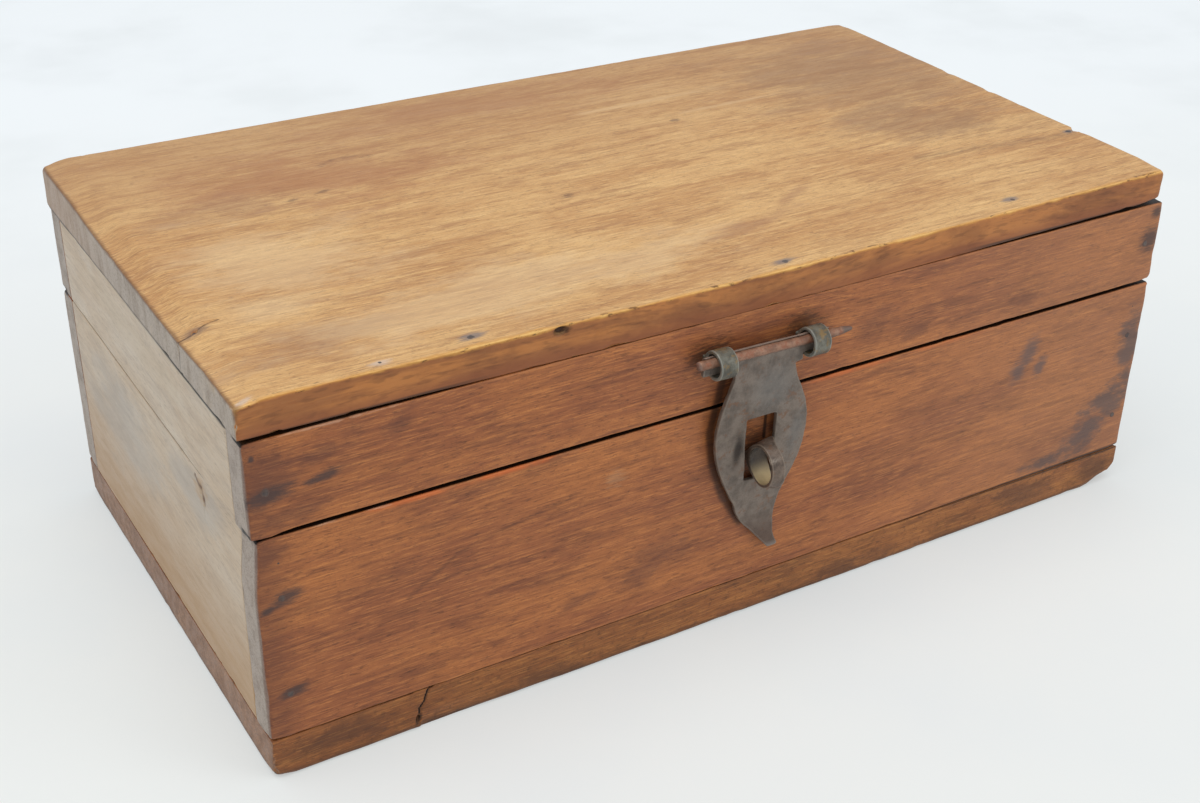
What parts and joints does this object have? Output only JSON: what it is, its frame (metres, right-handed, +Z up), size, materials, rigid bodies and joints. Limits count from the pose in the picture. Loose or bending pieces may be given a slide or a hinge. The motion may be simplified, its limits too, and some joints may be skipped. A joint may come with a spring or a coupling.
{
  "type": "desk letter box",
  "caption": "Nailed wooden letter box with a hinged lid, butt hinges at the back and a forged iron hasp that drops over a lock eye at the front.",
  "frame": {"origin": "middle of the underside of the bottom board", "axes": "+X along the front to the right, -Y out of the front, +Z up"},
  "size_m": [0.3058, 0.1849, 0.1165],
  "materials": {
    "top_wood": "worn, waxed honey-brown wood with fine grain and dark flecks",
    "front_wood": "reddish-brown wood, handled and stained, satin",
    "end_wood": "paler, greyish-tan worn wood",
    "bottom_wood": "orange-brown wood, rough lower edges",
    "hasp_iron": "dark brown-grey forged iron plate, lightly polished by handling",
    "eye_iron": "grey forged iron strip with rust in the hollows",
    "pin_iron": "red-brown rusted iron rod",
    "hinge_iron": "dark forged iron with light rust",
    "nail_iron": "blackened wrought nail heads"
  },
  "bodies": {
    "box": {"front_board": "front_wood", "back_board": "front_wood", "left_end_board": "end_wood", "right_end_board": "end_wood", "bottom_board": "bottom_wood", "body_corner_nails": "nail_iron", "bottom_nails": "nail_iron", "lock_eye": "eye_iron", "hinge_body_leaf_left": "hinge_iron", "hinge_body_leaf_right": "hinge_iron", "hinge_pin_left": "hinge_iron", "hinge_pin_right": "hinge_iron", "hinge_body_nails": "nail_iron"},
    "lid": {"lid_top": "top_wood", "lid_front_rail": "front_wood", "lid_back_rail": "front_wood", "lid_left_end": "end_wood", "lid_right_end": "end_wood", "lid_top_nails": "nail_iron", "lid_corner_nails": "nail_iron", "hasp_eye_left": "eye_iron", "hasp_eye_right": "eye_iron", "hinge_lid_leaf_left": "hinge_iron", "hinge_lid_leaf_right": "hinge_iron", "hinge_lid_nails": "nail_iron"},
    "hasp": {"hasp_plate": "hasp_iron", "hasp_pin": "pin_iron"}
  },
  "joints": [
    {"name": "lid_hinge", "type": "hinge", "parent": "box", "child": "lid", "pos_m": [0, 0.0854, 0.075], "axis": [-1, 0, 0], "range_deg": [0, 185]},
    {"name": "hasp_swing", "type": "hinge", "parent": "lid", "child": "hasp", "pos_m": [-0.0042, -0.0875, 0.0911], "axis": [-0.9998, 0, 0.0209], "range_deg": [0, 195]}
  ]
}
